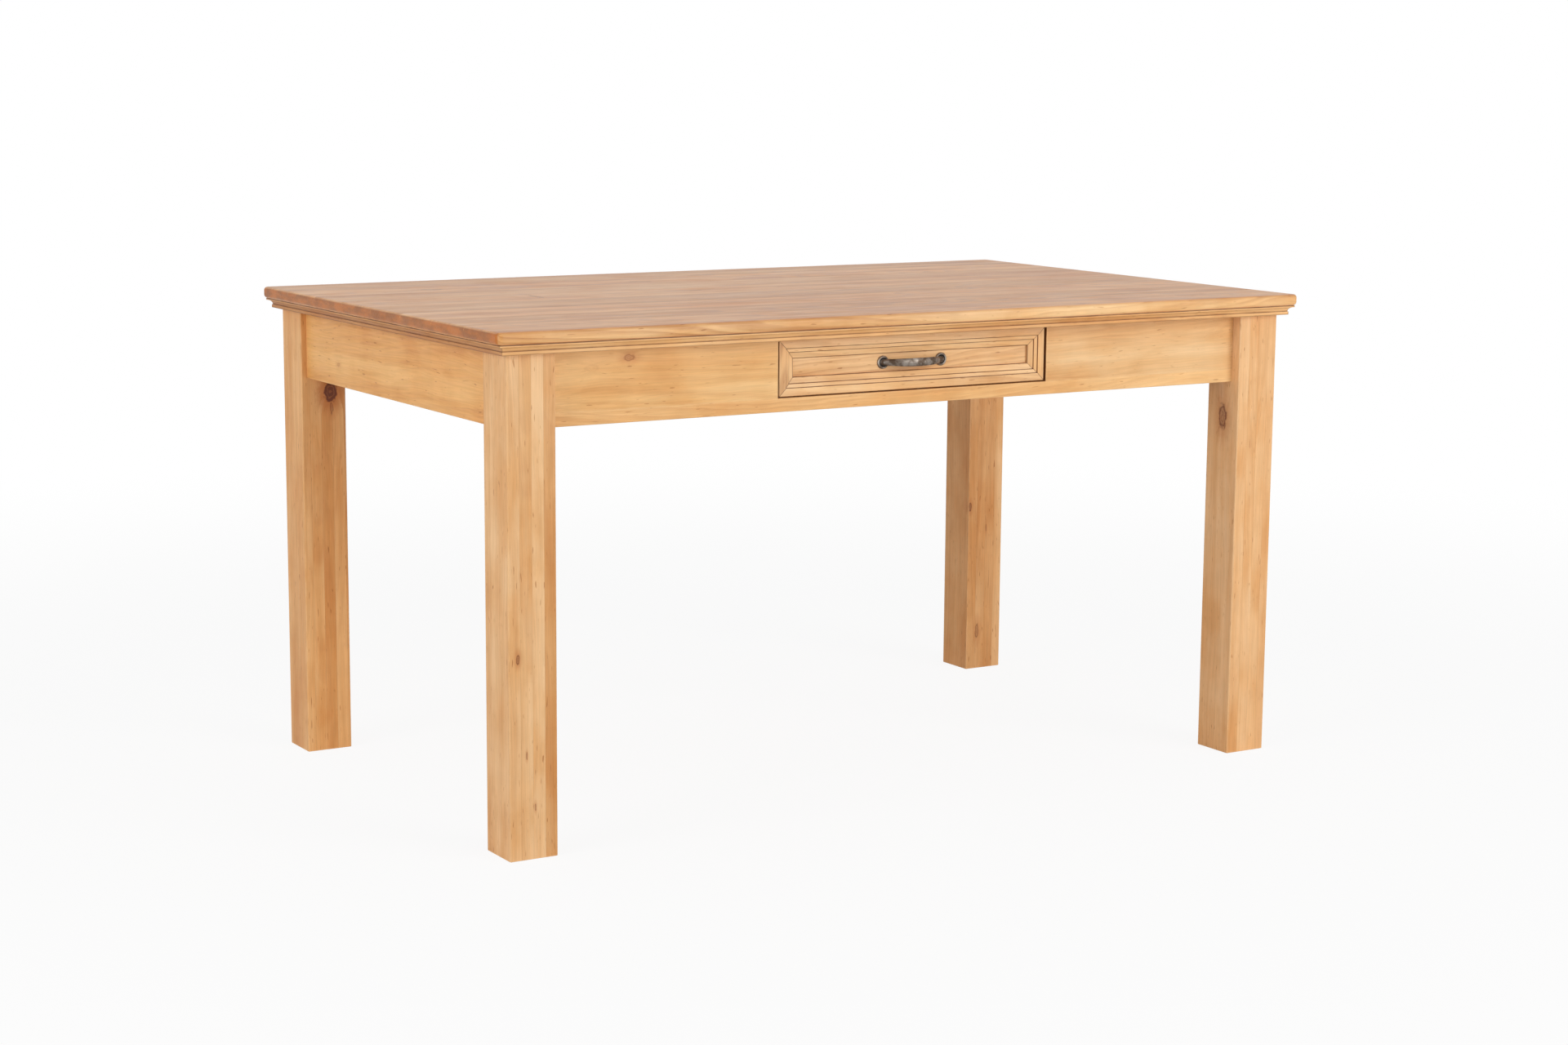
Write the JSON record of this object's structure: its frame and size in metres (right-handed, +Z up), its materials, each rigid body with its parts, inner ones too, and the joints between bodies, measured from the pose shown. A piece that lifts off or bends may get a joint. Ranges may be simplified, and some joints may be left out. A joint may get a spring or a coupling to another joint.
{
  "type": "dining table with drawer",
  "caption": "Rectangular waxed pine kitchen table with a cornice-moulded top, square legs and a framed drawer with a bow handle in its front apron.",
  "frame": {"origin": "on the floor under the middle of the top", "axes": "+X along the length to the right seen from the drawer side, +Y to the back, +Z up"},
  "size_m": [1.42, 0.87, 0.75],
  "materials": {
    "pine_top": "waxed pine, satin",
    "pine_moulding": "waxed pine, satin",
    "pine_leg": "waxed pine, satin",
    "pine_apron": "waxed pine, satin",
    "pine_drawer_front": "waxed pine, satin",
    "pine_inner": "planed pine, unwaxed",
    "drawer_plywood": "sanded plywood",
    "beech_dowel": "turned beech",
    "antique_metal": "antique dark pewter with worn high spots",
    "zinc_steel": "zinc plated"
  },
  "bodies": {
    "table": {"back_apron": "pine_apron", "batten_screws": "zinc_steel", "corner_block_back_left": "pine_inner", "corner_block_back_right": "pine_inner", "corner_block_front_left": "pine_inner", "corner_block_front_right": "pine_inner", "corner_block_screws": "zinc_steel", "drawer_guide_left": "pine_inner", "drawer_guide_right": "pine_inner", "drawer_runner_left": "pine_inner", "drawer_runner_right": "pine_inner", "front_bottom_rail": "pine_apron", "front_panel_left": "pine_apron", "front_panel_right": "pine_apron", "guide_dowels": "beech_dowel", "left_apron": "pine_apron", "leg_back_left": "pine_leg", "leg_back_right": "pine_leg", "leg_bolts": "zinc_steel", "leg_front_left": "pine_leg", "leg_front_right": "pine_leg", "leg_nuts": "zinc_steel", "leg_washers": "zinc_steel", "right_apron": "pine_apron", "runner_screws": "zinc_steel", "top_batten_back": "pine_inner", "top_batten_front_left": "pine_inner", "top_batten_front_right": "pine_inner", "top_batten_left": "pine_inner", "top_batten_right": "pine_inner", "top_board_1": "pine_top", "top_board_2": "pine_top", "top_board_3": "pine_top", "top_board_4": "pine_top", "top_board_5": "pine_top", "top_board_6": "pine_top", "top_board_7": "pine_top", "top_board_8": "pine_top", "top_moulding_back": "pine_moulding", "top_moulding_front": "pine_moulding", "top_moulding_left": "pine_moulding", "top_moulding_right": "pine_moulding"},
    "drawer": {"drawer_back": "pine_inner", "drawer_bottom": "drawer_plywood", "drawer_bottom_screws": "zinc_steel", "drawer_dowels": "beech_dowel", "drawer_panel": "pine_drawer_front", "drawer_rail_bottom": "pine_drawer_front", "drawer_rail_top": "pine_drawer_front", "drawer_side_left": "pine_inner", "drawer_side_right": "pine_inner", "drawer_stile_left": "pine_drawer_front", "drawer_stile_right": "pine_drawer_front", "handle_bow": "antique_metal", "handle_rosette_left": "antique_metal", "handle_rosette_right": "antique_metal", "handle_screws": "zinc_steel"}
  },
  "joints": [
    {"name": "drawer_slide", "type": "slide", "parent": "table", "child": "drawer", "axis": [0, -1, 0], "range_m": [0, 0.28]}
  ]
}
